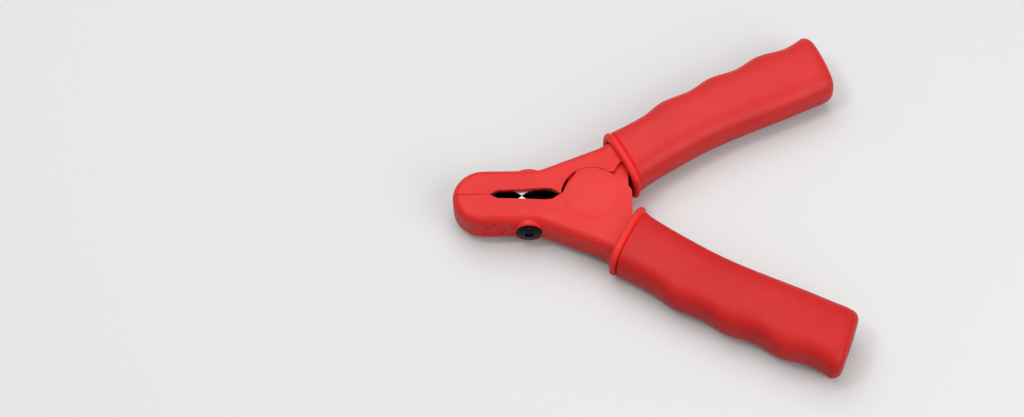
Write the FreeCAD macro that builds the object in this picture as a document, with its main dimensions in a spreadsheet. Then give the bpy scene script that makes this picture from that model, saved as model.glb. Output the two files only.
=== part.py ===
# Battery charger clamp, lying on its side as a parametric model in millimetres.
# The origin is the centre of the post seat, the larger recess between the two contacts.
# X runs along the clamp from the nose to the grips, Y across the jaws, Z along the hinge pin.
# Both levers are the same moulding: the lower one is the upper one turned over about X.

import FreeCAD, Part
import math
import os
from types import SimpleNamespace

# Driving sizes, in millimetres and degrees, measured from the hinge pin where no other piece is named
SIZES = {
    # levers
    "seat_to_pivot": 23.4,
    "shell_half": 8.62,
    "jaw_half": 14.4,
    "nose_centre": 50.2,
    "seam_gap": 0.3,
    "edge_round": 4.2,
    "side_wall": 2.6,
    "jaw_plate": 1.6,
    "jaw_plate_end": 15.6,
    "ear_wall": 2.0,
    "ear_gap": 0.25,
    "inner_ear_wall": 2.2,
    "ear_radius": 14.0,
    "inner_ear_radius": 13.4,
    "ear_start_angle": 119.0,
    "ear_slope_angle": 48.0,
    "ear_corner_round": 4.0,
    "slope_angle": 23.0,
    "front_bend": 14.0,
    "rear_bend": 30.0,
    "tail_outer": 11.1,
    "tail_inner": 7.0,
    "tail_length": 60.0,
    "rib_high": 4.3,
    "rib_low": 1.6,
    "rib_rise": 0.35,
    "circle_line": 13.5,
    "circle_groove": 0.3,
    "circle_depth": 0.15,
    "hook_root_x": 10.2,
    "hook_root_y": 11.9,
    "hook_step_x": 12.4,
    "hook_step_y": 16.0,
    "hook_back_x": 17.0,
    "hook_back_y": 17.9,
    # window between the jaws
    "window_front": 47.4,
    "window_shoulder": 43.6,
    "window_rear": 14.5,
    "window_rear_shoulder": 18.3,
    "window_front_half": 2.2,
    "window_middle_half": 2.6,
    "window_rear_half": 3.2,
    # grips
    "mouth_x": 14.3,
    "mouth_y": 20.2,
    "grip_angle": 36.3,
    "bow_radius": 534.0,
    "grip_length": 111.9,
    "mouth_angle": 28.0,
    "end_angle": 21.0,
    "grip_half": 11.1,
    "grip_round": 9.5,
    "grip_outer": 15.2,
    "grip_inner": 14.6,
    "grip_swell": 3.0,
    "swell_start": 35.0,
    "swell_length": 55.0,
    "wave_depth": 1.0,
    "wave_pitch": 26.0,
    "wave_crest": 34.5,
    "mouth_flare": 2.1,
    "grip_wall": 2.2,
    "grip_end_wall": 3.0,
    "grip_end_round": 3.5,
    "socket_fit": 0.15,
    "socket_round": 5.6,
    "bead_radius": 1.6,
    "upper_push": 0.5,
    "lower_push": 2.0,
    "cable_radius": 5.0,
    # contacts
    "sheet": 1.5,
    "contact_fit": 0.12,
    "contact_gap": 0.2,
    "contact_nose": 58.8,
    "contact_rear": 16.2,
    "contact_bend": 3.2,
    "ridge_x": 32.45,
    "seat_rise": 3.6,
    "front_seat_rise": 3.05,
    "tooth_pitch": 2.5,
    "tooth_depth": 0.8,
    # terminal screws
    "screw_x": 29.2,
    "screw_radius": 2.5,
    "screw_fit": 0.2,
    "thread_fit": 0.05,
    "head_radius": 5.9,
    "head_height": 3.3,
    "low_head_height": 1.2,
    "head_sink": 0.6,
    "head_dome": 0.8,
    "head_fit": 0.25,
    "socket_flats": 4.0,
    "socket_depth": 0.9,
    "boss_radius": 7.2,
    "boss_rise": 1.5,
    "boss_round": 0.5,
    "low_boss_rise": 0.15,
    "washer_height": 1.2,
    "washer_radius": 4.4,
    "washer_slot": 0.9,
    "nut_flats": 8.0,
    "nut_height": 4.0,
    "screw_end": 0.6,
    # polarity mark
    "mark_x": 45.6,
    "mark_radius": 5.3,
    "mark_depth": 0.5,
    "plus_length": 7.0,
    "plus_width": 1.8,
    # hinge
    "pin_radius": 3.0,
    "pin_fit": 0.05,
    "pin_sink": 1.2,
    "pin_end_gap": 0.1,
    "pin_chamfer": 0.4,
    "bush_wall": 1.5,
    "bush_gap": 0.12,
    "coil_radius": 6.2,
    "coil_turns": 2.0,
    "coil_gap": 0.15,
    "leg_reach": 28.0,
    "leg_gap": 0.15,
    # link strap
    "strap": 0.8,
    "strap_half_width": 2.5,
    "strap_front": 34.0,
    "strap_bend_x": 19.0,
    "strap_back": 10.6,
    "strap_turn": 5.0,
    "strap_round": 2.4,
    "strap_eye": 3.7,
}


class Size:
    """A length or angle with its value and the way the sheet spells it."""

    def __init__(self, value, text):
        self.value = value
        self.text = text

    def joined(self, sign, other, value):
        return Size(value, "(" + self.text + " " + sign + " " + other.text + ")")

    def __add__(self, other):
        other = as_size(other)
        return self.joined("+", other, self.value + other.value)

    def __sub__(self, other):
        other = as_size(other)
        return self.joined("-", other, self.value - other.value)

    def __mul__(self, other):
        other = as_size(other)
        return self.joined("*", other, self.value * other.value)

    def __truediv__(self, other):
        other = as_size(other)
        return self.joined("/", other, self.value / other.value)

    def __radd__(self, other):
        return as_size(other) + self

    def __rsub__(self, other):
        return as_size(other) - self

    def __rmul__(self, other):
        return as_size(other) * self

    def __neg__(self):
        return Size(-self.value, "(0 - " + self.text + ")")


def as_size(number):
    if isinstance(number, Size):
        return number
    return Size(float(number), "(" + repr(float(number)) + ")")


def sine(angle):
    return Size(math.sin(math.radians(angle.value)), "sin(" + angle.text + " * 1 deg)")


def cosine(angle):
    return Size(math.cos(math.radians(angle.value)), "cos(" + angle.text + " * 1 deg)")


def root(number):
    return Size(math.sqrt(number.value), "sqrt(" + number.text + ")")


doc = FreeCAD.newDocument("clamp")
sheet = doc.addObject("Spreadsheet::Sheet", "Sizes")
for row, (alias, value) in enumerate(SIZES.items(), start=1):
    sheet.set("A%d" % row, alias)
    sheet.set("B%d" % row, str(value))
    sheet.setAlias("B%d" % row, alias)
doc.recompute()
size = SimpleNamespace(**{alias: Size(value, "Sizes." + alias) for alias, value in SIZES.items()})
zero = as_size(0)
half_gap = size.seam_gap / 2


# Sketch and feature helpers

def origin_plane(body, role):
    return next(feature for feature in body.Origin.OriginFeatures if feature.Role == role)


def new_sketch(body, name, role, level=zero, side=zero):
    """A sketch on an origin plane, raised by level along its normal and moved by side along its X."""
    sketch = body.newObject("Sketcher::SketchObject", name)
    sketch.AttachmentSupport = (origin_plane(body, role), [""])
    sketch.MapMode = "FlatFace"
    sketch.AttachmentOffset = FreeCAD.Placement(
        FreeCAD.Vector(side.value, 0, level.value), FreeCAD.Rotation())
    sketch.setExpression("AttachmentOffset.Base.z", level.text)
    sketch.setExpression("AttachmentOffset.Base.x", side.text)
    return sketch


def pin_point(sketch, geometry, position, x, y):
    """Hold a point at x, y with constraints that read the sheet."""
    for kind, coordinate, axis in (("DistanceX", x, -2), ("DistanceY", y, -1)):
        if coordinate.value == 0:
            sketch.addConstraint(constraint("PointOnObject", geometry, position, axis))
        else:
            index = sketch.addConstraint(
                constraint(kind, -1, 1, geometry, position, coordinate.value))
            sketch.setExpression("Constraints[%d]" % index, coordinate.text)


def constraint(kind, *references):
    import Sketcher
    return Sketcher.Constraint(kind, *references)


def add_circle(sketch, x, y, radius):
    circle = Part.Circle(
        FreeCAD.Vector(x.value, y.value, 0), FreeCAD.Vector(0, 0, 1), radius.value)
    index = sketch.addGeometry(circle, False)
    pin_point(sketch, index, 3, x, y)
    rule = sketch.addConstraint(constraint("Radius", index, radius.value))
    sketch.setExpression("Constraints[%d]" % rule, radius.text)


def add_outline(sketch, corners, arcs=None):
    """A closed outline: arcs maps the corner that an arc starts from to (centre, radius, turn)."""
    arcs = arcs or {}
    count = len(corners)
    ends = []
    first = len(sketch.Geometry)
    for number, corner in enumerate(corners):
        start = FreeCAD.Vector(corner[0].value, corner[1].value, 0)
        following = corners[(number + 1) % count]
        end = FreeCAD.Vector(following[0].value, following[1].value, 0)
        if number not in arcs:
            sketch.addGeometry(Part.LineSegment(start, end), False)
            ends.append((1, 2))
            continue
        centre, radius, turn = arcs[number]
        middle = FreeCAD.Vector(centre[0].value, centre[1].value, 0)
        circle = Part.Circle(middle, FreeCAD.Vector(0, 0, 1), radius.value)
        from_angle = math.atan2(start.y - middle.y, start.x - middle.x)
        to_angle = math.atan2(end.y - middle.y, end.x - middle.x)
        if turn == "left":
            sketch.addGeometry(Part.ArcOfCircle(circle, from_angle, to_angle), False)
            ends.append((1, 2))
        else:
            sketch.addGeometry(Part.ArcOfCircle(circle, to_angle, from_angle), False)
            ends.append((2, 1))
    for number, corner in enumerate(corners):
        before = (number - 1) % count
        sketch.addConstraint(constraint(
            "Coincident", first + before, ends[before][1], first + number, ends[number][0]))
        pin_point(sketch, first + number, ends[number][0], corner[0], corner[1])
        if number in arcs:
            radius = arcs[number][1]
            rule = sketch.addConstraint(constraint("Radius", first + number, radius.value))
            sketch.setExpression("Constraints[%d]" % rule, radius.text)


def pad(body, name, sketch, length, reverse=False):
    feature = body.newObject("PartDesign::Pad", name)
    feature.Profile = sketch
    feature.Length = length.value
    feature.setExpression("Length", length.text)
    feature.Reversed = reverse
    doc.recompute()
    return feature


def pocket(body, name, sketch, length, reverse=False):
    """A pocket that has to take material away."""
    before = body.Shape.Volume
    feature = body.newObject("PartDesign::Pocket", name)
    feature.Profile = sketch
    feature.Length = length.value
    feature.setExpression("Length", length.text)
    feature.Reversed = reverse
    doc.recompute()
    if not body.Shape.Volume < before:
        raise RuntimeError(name + " cuts nothing")
    return feature


def fillet(body, name, radius, chosen):
    """Round the edges of the body's tip that chosen picks."""
    base = body.Tip
    names = ["Edge%d" % number
             for number, edge in enumerate(base.Shape.Edges, start=1) if chosen(edge)]
    if not names:
        raise RuntimeError(name + " finds no edge")
    feature = body.newObject("PartDesign::Fillet", name)
    feature.Base = (base, names)
    feature.Radius = radius.value
    feature.setExpression("Radius", radius.text)
    doc.recompute()
    return feature


def flat_at(edge, level):
    """Whether the whole edge lies at one height."""
    box = edge.BoundBox
    return abs(box.ZMin - level) < 1e-4 and abs(box.ZMax - level) < 1e-4


def place(piece, lower):
    """Seat a piece built about the hinge: at its distance from the post seat, turned over if lower."""
    turn = FreeCAD.Rotation(FreeCAD.Vector(1, 0, 0), 180 if lower else 0)
    piece.Placement = FreeCAD.Placement(FreeCAD.Vector(size.seat_to_pivot.value, 0, 0), turn)
    piece.setExpression("Placement.Base.x", size.seat_to_pivot.text)


# Lines that several pieces share

def along_grip(distance, offset):
    """The point at a distance along the bowed grip line from the mouth, offset outwards."""
    bow = size.bow_radius
    heading = size.grip_angle - as_size(distance) / bow * (180 / math.pi)
    reach = bow + offset
    centre = grip_bow_centre()
    return centre[0] - reach * sine(heading), centre[1] + reach * cosine(heading)


def grip_bow_centre():
    bow = size.bow_radius
    return (size.mouth_x + bow * sine(size.grip_angle),
            size.mouth_y - bow * cosine(size.grip_angle))


def outer_line(inset):
    """Corners and arcs of the outer wall from the jaw to the end of the tail, moved inwards."""
    jaw = size.jaw_half - inset
    front = size.front_bend + inset
    rear = size.rear_bend + inset
    slope = size.slope_angle
    tail = size.tail_outer - inset
    tail_start = along_grip(zero, tail)
    rear_centre = (tail_start[0] - rear * sine(size.grip_angle),
                   tail_start[1] + rear * cosine(size.grip_angle))
    slope_end = (rear_centre[0] + rear * sine(slope), rear_centre[1] - rear * cosine(slope))
    rise = slope_end[1] - jaw - front * (1 - cosine(slope))
    slope_start = (slope_end[0] - rise * cosine(slope) / sine(slope), slope_end[1] - rise)
    bend_start = (slope_start[0] - front * sine(slope), jaw)
    front_centre = (bend_start[0], jaw + front)
    corners = [bend_start, slope_start, slope_end, tail_start]
    arcs = {0: (front_centre, front, "left"), 2: (rear_centre, rear, "left")}
    return corners, arcs


def tail_arc(offset):
    return (grip_bow_centre(), size.bow_radius + offset, "right")


# Levers

plate_inside = size.shell_half - size.ear_wall
inner_ear_top = plate_inside - size.ear_gap
jaw_inside = size.shell_half - size.jaw_plate
wall_inside = size.jaw_half - size.side_wall
back_edge = along_grip(zero, -size.tail_inner)
cut_radius = size.ear_radius + size.seam_gap


def lever_blank(body):
    """The full thickness of the jaw and tail, cut round where the other lever's ear lies."""
    seam_nose = (-size.nose_centre - root(size.jaw_half * size.jaw_half - half_gap * half_gap),
                 half_gap)
    line, bends = outer_line(zero)
    tail_end = size.tail_length
    hook_start = (root(cut_radius * cut_radius - size.hook_root_y * size.hook_root_y),
                  size.hook_root_y)
    cut_end = (-root(cut_radius * cut_radius - half_gap * half_gap), half_gap)
    corners = [seam_nose, (-size.nose_centre, size.jaw_half)] + line
    arcs = {0: ((-size.nose_centre, zero), size.jaw_half, "right")}
    arcs.update({number + 2: bend for number, bend in bends.items()})
    arcs[5] = tail_arc(size.tail_outer)
    corners += [along_grip(tail_end, size.tail_outer), along_grip(tail_end, -size.tail_inner)]
    inner = tail_arc(-size.tail_inner)
    arcs[7] = (inner[0], inner[1], "left")
    corners += [
        back_edge,
        (size.hook_back_x, size.hook_back_y),
        (size.hook_step_x + 1, size.hook_back_y - 0.8),
        (size.hook_step_x, size.hook_step_y),
        (size.hook_root_x, size.hook_root_y),
        hook_start,
        cut_end,
        (-size.window_rear, half_gap),
        (-size.window_rear_shoulder, size.window_rear_half - 0.35),
        (-size.window_rear_shoulder - 3.5, size.window_rear_half),
        (-size.ridge_x, size.window_middle_half),
        (-size.window_shoulder, size.window_front_half),
        (-size.window_front, half_gap),
    ]
    arcs[13] = ((zero, zero), cut_radius, "left")
    sketch = new_sketch(body, body.Name + "_plan", "XY_Plane", -size.shell_half)
    add_outline(sketch, corners, arcs)
    return pad(body, body.Name + "_blank", sketch, size.shell_half * 2)


def on_outer_line(edge):
    """Whether an edge of the blank's faces belongs to the rounded outer wall."""
    if not (flat_at(edge, size.shell_half.value) or flat_at(edge, -size.shell_half.value)):
        return False
    middle = edge.valueAt((edge.FirstParameter + edge.LastParameter) / 2)
    nose = -size.nose_centre.value
    if middle.x < nose:
        reach = math.hypot(middle.x - nose, middle.y)
        return abs(reach - size.jaw_half.value) < 0.01
    corners = outer_line(zero)[0]
    if middle.x < corners[3][0].value:
        return middle.y > size.jaw_half.value - 0.01
    centre = grip_bow_centre()
    reach = math.hypot(middle.x - centre[0].value, middle.y - centre[1].value)
    return abs(reach - size.bow_radius.value - size.tail_outer.value) < 0.01


def lever_hollows(body):
    """The jaw hood for the contact and the open channel through the tail for the spring and cable."""
    past = as_size(4)
    line, bends = outer_line(size.side_wall)
    slope = size.slope_angle
    jaw_end = -size.jaw_plate_end
    roof_end = line[1][1] + (jaw_end - line[1][0]) * sine(slope) / cosine(slope)
    nose = -size.nose_centre
    corners = [(nose - wall_inside, -past), (nose - wall_inside, zero), (nose, wall_inside)]
    corners += line[:2] + [(jaw_end, roof_end), (jaw_end, -past)]
    arcs = {1: ((nose, zero), wall_inside, "right"), 3: bends[0]}
    hood = new_sketch(body, body.Name + "_hood", "XY_Plane", jaw_inside)
    add_outline(hood, corners, arcs)
    pocket(body, body.Name + "_hood_cut", hood, jaw_inside * 2)
    fillet(body, body.Name + "_hood_round", size.contact_bend - 0.2,
           lambda edge: flat_at_either(edge, jaw_inside.value) and edge_outside(edge, corners[1:6]))
    channel_end = size.tail_length + 2
    tail = size.tail_outer - size.side_wall
    corners = [(jaw_end - 1, -past * 5), (jaw_end - 1, roof_end - sine(slope) / cosine(slope))]
    corners += [line[2], line[3], along_grip(channel_end, tail)]
    corners += [along_grip(channel_end, -size.tail_inner * 2)]
    corners += [(size.hook_back_x * 2, -past * 5)]
    arcs = {2: bends[2], 3: tail_arc(tail)}
    channel = new_sketch(body, body.Name + "_channel", "XY_Plane", plate_inside)
    add_outline(channel, corners, arcs)
    pocket(body, body.Name + "_channel_cut", channel, plate_inside * 2)


def flat_at_either(edge, level):
    return flat_at(edge, level) or flat_at(edge, -level)


def edge_outside(edge, corners):
    """Whether an edge joins two neighbouring corners of a list."""
    ends = [vertex.Point for vertex in edge.Vertexes]
    for first, second in zip(corners, corners[1:]):
        pair = [FreeCAD.Vector(corner[0].value, corner[1].value, 0) for corner in (first, second)]
        for one, other in (pair, pair[::-1]):
            if len(ends) == 2 and near_plan(ends[0], one) and near_plan(ends[1], other):
                return True
    return False


def near_plan(point, other):
    return math.hypot(point.x - other.x, point.y - other.y) < 0.01


def on_ear_circle(radius, angle):
    return radius * cosine(angle), radius * sine(angle)


def lever_ears(body):
    """The outer ear on the far face and the sunken inner ear that runs under the other lever's ear."""
    radius = size.ear_radius
    start = on_ear_circle(radius, -size.ear_start_angle)
    slope_start = on_ear_circle(radius, -size.ear_slope_angle)
    heading = 90 - size.ear_slope_angle
    corner = size.ear_corner_round
    corner_centre_x = back_edge[0] - corner
    slope_end_x = corner_centre_x + corner * sine(heading)
    slope_end_y = (slope_start[1]
                   + (slope_end_x - slope_start[0]) * sine(heading) / cosine(heading))
    corner_centre_y = slope_end_y + corner * cosine(heading)
    corners = [
        (-size.window_rear, half_gap),
        (-size.ear_radius, half_gap),
        start,
        slope_start,
        (slope_end_x, slope_end_y),
        (back_edge[0], corner_centre_y),
        back_edge,
        along_grip(as_size(6), zero),
        along_grip(as_size(2), size.tail_outer - size.edge_round),
        (-size.ear_radius / 2, size.jaw_half + 2),
        (-size.jaw_plate_end, size.jaw_half / 2),
        (-size.jaw_plate_end, size.window_rear_half + 1),
    ]
    arcs = {
        2: ((zero, zero), radius, "left"),
        4: ((corner_centre_x, corner_centre_y), corner, "left"),
    }
    ear = new_sketch(body, body.Name + "_ear", "XY_Plane", -size.shell_half)
    add_outline(ear, corners, arcs)
    pad(body, body.Name + "_ear_pad", ear, size.ear_wall)

    inner = size.inner_ear_radius
    shoulder = along_grip(as_size(2), -size.tail_inner / 2)
    roof = along_grip(as_size(-1), size.tail_outer / 2)
    left = on_ear_circle(inner, as_size(160))
    corners = [
        left,
        on_ear_circle(inner, as_size(-25)),
        (size.hook_back_x, as_size(1)),
        (size.hook_back_x, size.hook_back_y - 1),
        shoulder,
        roof,
        (-size.ear_radius / 2, size.jaw_half + 2.5),
    ]
    arcs = {0: ((zero, zero), inner, "left")}
    sunk = new_sketch(body, body.Name + "_inner_ear", "XY_Plane",
                      inner_ear_top - size.inner_ear_wall)
    add_outline(sunk, corners, arcs)
    pad(body, body.Name + "_inner_ear_pad", sunk, size.inner_ear_wall)

    neck_radius = cut_radius + size.seam_gap
    corners = [
        on_ear_circle(neck_radius, as_size(150)),
        on_ear_circle(neck_radius, as_size(62)),
        (size.hook_root_x + 1.2, size.hook_root_y + 1),
        (size.hook_step_x + 0.4, size.hook_step_y + 0.4),
        (size.hook_back_x - 0.3, size.hook_back_y + 0.3),
        shoulder,
        roof,
        (-size.ear_radius / 2, size.jaw_half + 2.5),
    ]
    arcs = {0: ((zero, zero), neck_radius, "right")}
    overlap = size.ear_gap
    neck = new_sketch(body, body.Name + "_neck", "XY_Plane", inner_ear_top - overlap)
    add_outline(neck, corners, arcs)
    pad(body, body.Name + "_neck_pad", neck, size.ear_gap + overlap * 2)


def lever_pin_holes(body):
    """A blind hole in the outer ear and a through hole in the inner ear, both for the hinge pin."""
    hole = size.pin_radius + size.pin_fit
    blind = new_sketch(body, body.Name + "_blind_hole", "XY_Plane", -plate_inside)
    add_circle(blind, zero, zero, hole)
    pocket(body, body.Name + "_blind_cut", blind, size.pin_sink)
    through = new_sketch(body, body.Name + "_pin_hole", "XY_Plane", inner_ear_top)
    add_circle(through, zero, zero, hole)
    pocket(body, body.Name + "_pin_cut", through, size.inner_ear_wall + size.ear_gap)


def lever_circle_line(body):
    """The fine groove that carries the ear's circle on across the lever's face."""
    outside = size.circle_line + size.circle_groove / 2
    inside = size.circle_line - size.circle_groove / 2
    first = as_size(42)
    last = as_size(175)
    corners = [on_ear_circle(outside, first), on_ear_circle(outside, last),
               on_ear_circle(inside, last), on_ear_circle(inside, first)]
    arcs = {0: ((zero, zero), outside, "left"), 2: ((zero, zero), inside, "right")}
    depth = size.circle_depth
    groove = new_sketch(body, body.Name + "_circle_line", "XY_Plane", -size.shell_half + depth)
    add_outline(groove, corners, arcs)
    pocket(body, body.Name + "_circle_cut", groove, depth + 1)


def lever_outer_wall(body, lower):
    """The ring boss and hole for the terminal screw, the plus mark and the flat rib of the tail."""
    boss_rise = size.boss_rise if lower else size.low_boss_rise
    boss = new_sketch(body, body.Name + "_boss", "XZ_Plane", -wall_inside)
    add_circle(boss, -size.screw_x, zero, size.boss_radius)
    pad(body, body.Name + "_boss_pad", boss, size.side_wall + boss_rise, reverse=True)
    if lower:
        boss_top = size.jaw_half.value + size.boss_rise.value
        fillet(body, body.Name + "_boss_edge", size.boss_round,
               lambda edge: abs(edge.BoundBox.YMin - boss_top) < 1e-4
               and abs(edge.BoundBox.YMax - boss_top) < 1e-4)
    head_seat = size.jaw_half - size.head_sink
    sink = new_sketch(body, body.Name + "_head_sink", "XZ_Plane", -head_seat)
    add_circle(sink, -size.screw_x, zero, size.head_radius + size.head_fit)
    pocket(body, body.Name + "_head_cut", sink, size.head_sink + boss_rise + 1)
    hole = new_sketch(body, body.Name + "_screw_hole", "XZ_Plane", -wall_inside + 1)
    add_circle(hole, -size.screw_x, zero, size.screw_radius + size.screw_fit)
    pocket(body, body.Name + "_screw_cut", hole, size.side_wall + 2)

    floor = size.jaw_half - size.mark_depth
    mark = new_sketch(body, body.Name + "_mark", "XZ_Plane", -floor)
    add_circle(mark, -size.mark_x, zero, size.mark_radius)
    pocket(body, body.Name + "_mark_cut", mark, size.mark_depth + 1)
    plus = new_sketch(body, body.Name + "_plus", "XZ_Plane", -floor + 0.5)
    add_plus(plus, -size.mark_x, size.plus_length / 2, size.plus_width / 2)
    pad(body, body.Name + "_plus_pad", plus, size.mark_depth + 0.4, reverse=True)

    line = outer_line(-size.rib_rise)[0]
    arcs_out = outer_line(-size.rib_rise)[1]
    inside, arcs_in = outer_line(size.side_wall / 2)
    rise = size.tail_outer + size.rib_rise
    sunk = size.tail_outer - size.side_wall / 2
    stop = size.tail_length - 2
    corners = [line[1], line[2], line[3], along_grip(stop, rise), along_grip(stop, sunk)]
    corners += [inside[3], inside[2], inside[1]]
    arcs = {1: arcs_out[2], 2: tail_arc(rise)}
    inner_tail = tail_arc(sunk)
    arcs[4] = (inner_tail[0], inner_tail[1], "left")
    arcs[5] = (arcs_in[2][0], arcs_in[2][1], "right")
    rib = new_sketch(body, body.Name + "_rib", "XY_Plane", -size.rib_high)
    add_outline(rib, corners, arcs)
    pad(body, body.Name + "_rib_pad", rib, size.rib_high + size.rib_low)


def add_plus(sketch, x, reach, half):
    """The twelve corners of a plus sign about a point on the sketch's X axis."""
    steps = ((reach, half), (half, half), (half, reach))
    corners = []
    for first, second in ((1, 1), (-1, 1), (-1, -1), (1, -1)):
        quarter = steps if first * second > 0 else steps[::-1]
        corners += [(x + first * along, second * up) for along, up in quarter]
    add_outline(sketch, corners)


def make_lever(name, lower):
    body = doc.addObject("PartDesign::Body", name)
    body.Label = name
    lever_blank(body)
    fillet(body, name + "_edge", size.edge_round, on_outer_line)
    lever_hollows(body)
    lever_ears(body)
    lever_pin_holes(body)
    lever_circle_line(body)
    lever_outer_wall(body, lower)
    place(body, lower)
    return body


# Contacts, one folded strip of sheet in each jaw

flange_outside = jaw_inside - size.contact_fit


def seat_arc(centre_x, half_chord, rise):
    """A hollow of the contact's edge: its arc's centre and radius from its chord and depth."""
    radius = (half_chord * half_chord + rise * rise) / (2 * rise)
    edge = size.contact_gap / 2
    return (centre_x, edge + rise - radius), radius, "right"


def make_contact(name, lower):
    body = doc.addObject("PartDesign::Body", name)
    body.Label = name
    edge = size.contact_gap / 2
    nose = -size.nose_centre
    tip = -size.contact_nose
    hood = wall_inside - size.contact_bend + 0.9
    ridge = -size.ridge_x
    half_seat = size.ridge_x - size.seat_to_pivot
    half_front = half_seat - 1.5
    front_centre = ridge - half_front
    teeth_end = front_centre - half_front
    fold = hood * hood - (tip - nose) * (tip - nose)
    corners = [(tip, edge + size.tooth_depth), (tip, root(fold)), (nose, hood)]
    corners += [(nose + 2, wall_inside), (-size.contact_rear, wall_inside)]
    rear_x = -size.contact_rear
    seat = seat_arc(-size.seat_to_pivot, half_seat, size.seat_rise)
    rear_drop = seat[1] * seat[1] - (rear_x + size.seat_to_pivot) * (rear_x + size.seat_to_pivot)
    corners += [(rear_x, seat[0][1] + root(rear_drop)), (ridge, edge), (teeth_end, edge)]
    arcs = {
        1: ((nose, zero), hood, "right"),
        5: (seat[0], seat[1], "left"),
        6: seat_arc(front_centre, half_front, size.front_seat_rise)[:2] + ("left",),
    }
    count = int((teeth_end - tip).value / size.tooth_pitch.value)
    pitch = (teeth_end - tip) / count
    for tooth in range(1, count):
        point = teeth_end - tooth * pitch
        corners += [(point + pitch / 2, edge + size.tooth_depth), (point, edge)]
    plan = new_sketch(body, name + "_plan", "XY_Plane", -flange_outside)
    add_outline(plan, corners, arcs)
    pad(body, name + "_blank", plan, flange_outside * 2)
    inside = new_sketch(body, name + "_inside", "XY_Plane", flange_outside - size.sheet)
    web = wall_inside - size.sheet
    add_outline(inside, [(tip - 2, web), (tip - 2, edge - 2), (rear_x + 2, edge - 2), (rear_x + 2, web)])
    pocket(body, name + "_inside_cut", inside, (flange_outside - size.sheet) * 2)
    fold_edges(body, name + "_outer_fold", wall_inside, flange_outside, size.contact_bend)
    fold_edges(body, name + "_inner_fold", web, flange_outside - size.sheet,
               size.contact_bend - size.sheet)
    hole = new_sketch(body, name + "_screw_hole", "XZ_Plane", -web + 1)
    add_circle(hole, -size.screw_x, zero, size.screw_radius + size.screw_fit)
    pocket(body, name + "_screw_cut", hole, size.sheet + 2)
    place(body, lower)
    return body


def fold_edges(body, name, y, z, radius):
    """Round the two long edges of the folded sheet at one height and depth."""
    def chosen(edge):
        box = edge.BoundBox
        straight = box.YLength < 1e-4 and box.ZLength < 1e-4
        level = abs(box.YMin - y.value) < 1e-4
        return straight and level and abs(abs(box.ZMin) - z.value) < 1e-4
    fillet(body, name, radius, chosen)


# Terminal screws with their lock washers and nuts

def make_screw(name, lower):
    body = doc.addObject("PartDesign::Body", name)
    body.Label = name
    seat = size.jaw_half - size.head_sink
    top = seat + (size.head_height if lower else size.low_head_height)
    rim = top - size.head_dome
    end = nut_bottom() - size.screw_end
    shank = size.screw_radius
    head = size.head_radius
    dome = (head * head + size.head_dome * size.head_dome) / (2 * size.head_dome)
    corners = [(zero, end), (shank - 0.4, end), (shank, end + 0.4), (shank, seat)]
    corners += [(head - 0.2, seat), (head, seat + 0.2), (head, rim), (zero, top)]
    profile = new_sketch(body, name + "_profile", "XY_Plane", zero, -size.screw_x)
    add_outline(profile, corners, {6: ((zero, top - dome), dome, "left")})
    turned = body.newObject("PartDesign::Revolution", name + "_turned")
    turned.Profile = profile
    turned.ReferenceAxis = (profile, ["V_Axis"])
    turned.Angle = 360
    doc.recompute()
    key = new_sketch(body, name + "_socket", "XZ_Plane", -(top - size.socket_depth))
    add_hexagon(key, -size.screw_x, zero, size.socket_flats)
    pocket(body, name + "_socket_cut", key, size.socket_depth + 1)
    place(body, lower)
    return body


def add_hexagon(sketch, x, y, flats):
    """A hexagon across its flats, with two corners on the line through its centre along X."""
    reach = flats / as_size(math.sqrt(3))
    corners = [(x + reach * cosine(as_size(angle)), y + reach * sine(as_size(angle)))
               for angle in range(30, 390, 60)]
    add_outline(sketch, corners)


def strap_face():
    return wall_inside - size.sheet - size.strap


def nut_bottom():
    return strap_face() - size.washer_height - size.nut_height


def make_lock_washer(name, lower):
    body = doc.addObject("PartDesign::Body", name)
    body.Label = name
    bottom = strap_face() - size.washer_height
    ring = new_sketch(body, name + "_ring", "XZ_Plane", -bottom)
    add_circle(ring, -size.screw_x, zero, size.washer_radius)
    add_circle(ring, -size.screw_x, zero, size.screw_radius + size.screw_fit)
    pad(body, name + "_pad", ring, size.washer_height, reverse=True)
    slot = new_sketch(body, name + "_slot", "XZ_Plane", -bottom + 1)
    half = size.washer_slot / 2
    far = size.washer_radius + 1
    add_outline(slot, [(-size.screw_x - half, size.screw_radius / 2),
                       (-size.screw_x + half, size.screw_radius / 2),
                       (-size.screw_x + half, far), (-size.screw_x - half, far)])
    pocket(body, name + "_slot_cut", slot, size.washer_height + 2)
    place(body, lower)
    return body


def make_nut(name, lower):
    body = doc.addObject("PartDesign::Body", name)
    body.Label = name
    hexagon = new_sketch(body, name + "_hexagon", "XZ_Plane", -nut_bottom())
    add_hexagon(hexagon, -size.screw_x, zero, size.nut_flats)
    add_circle(hexagon, -size.screw_x, zero, size.screw_radius + size.thread_fit)
    pad(body, name + "_pad", hexagon, size.nut_height, reverse=True)
    place(body, lower)
    return body


# Soft grips, pushed over the tails

def outer_reach(distance):
    """How far the finger side of the grip stands from its line, with its waves and mouth flare."""
    first_valley = size.wave_crest.value - size.wave_pitch.value / 2
    if distance < first_valley:
        valley = size.grip_outer.value - size.wave_depth.value
        return valley + size.mouth_flare.value * (1 - distance / first_valley) ** 1.5
    turn = 2 * math.pi * (distance - size.wave_crest.value) / size.wave_pitch.value
    return size.grip_outer.value + size.wave_depth.value * math.cos(turn)


def inner_reach(distance):
    """How far the smooth side stands from the line, swelling towards the end."""
    share = (distance - size.swell_start.value) / size.swell_length.value
    share = min(max(share, 0), 1)
    return size.grip_inner.value + size.grip_swell.value * share * share * (3 - 2 * share)


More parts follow.
